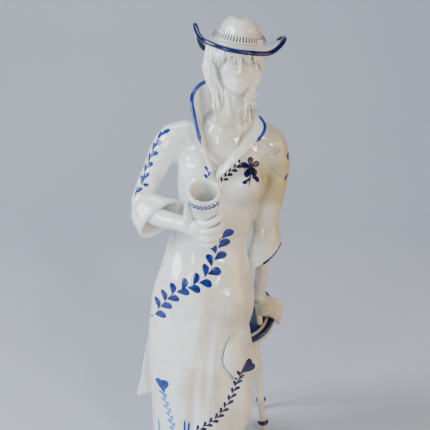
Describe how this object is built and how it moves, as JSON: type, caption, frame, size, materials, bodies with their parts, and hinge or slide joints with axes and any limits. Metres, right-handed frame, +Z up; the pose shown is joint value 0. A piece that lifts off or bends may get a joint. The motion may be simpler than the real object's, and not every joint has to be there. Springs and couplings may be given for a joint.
{
  "type": "porcelain figurine",
  "caption": "Hand-built glazed porcelain figure in a curled-brim hat and long dress, holding a cup and a round dish before a small stool.",
  "frame": {"origin": "centre of the bounding box's footprint, on the surface the soles and the stool feet stand on", "axes": "+Z up the standing figure, which faces -Y; +X is to the right seen from the front"},
  "size_m": [0.113, 0.1526, 0.3397],
  "materials": {
    "porcelain": "glossy clear glaze over white porcelain",
    "cobalt_glaze": "glossy cobalt underglaze"
  },
  "bodies": {
    "root": {"bodice": "porcelain", "skirt": "porcelain", "right_side_flare": "porcelain", "left_side_flare": "porcelain", "neck_and_chest": "porcelain", "head": "porcelain", "hair": "porcelain", "right_hair_lock": "porcelain", "left_hair_lock": "porcelain", "right_collar": "porcelain", "left_collar": "porcelain", "right_sleeve": "porcelain", "left_sleeve": "porcelain", "right_cuff": "porcelain", "left_cuff": "porcelain", "right_forearm": "porcelain", "left_forearm": "porcelain", "right_hand": "porcelain", "left_hand": "porcelain", "cup": "porcelain", "dish": "cobalt_glaze", "right_boot": "porcelain", "left_boot": "porcelain", "stool_seat": "porcelain", "stool_leg_1": "porcelain", "stool_leg_2": "porcelain", "stool_leg_3": "porcelain", "stool_leg_4": "porcelain", "hat_crown": "porcelain", "hat_brim": "porcelain", "hat_band": "cobalt_glaze"}
  },
  "joints": []
}
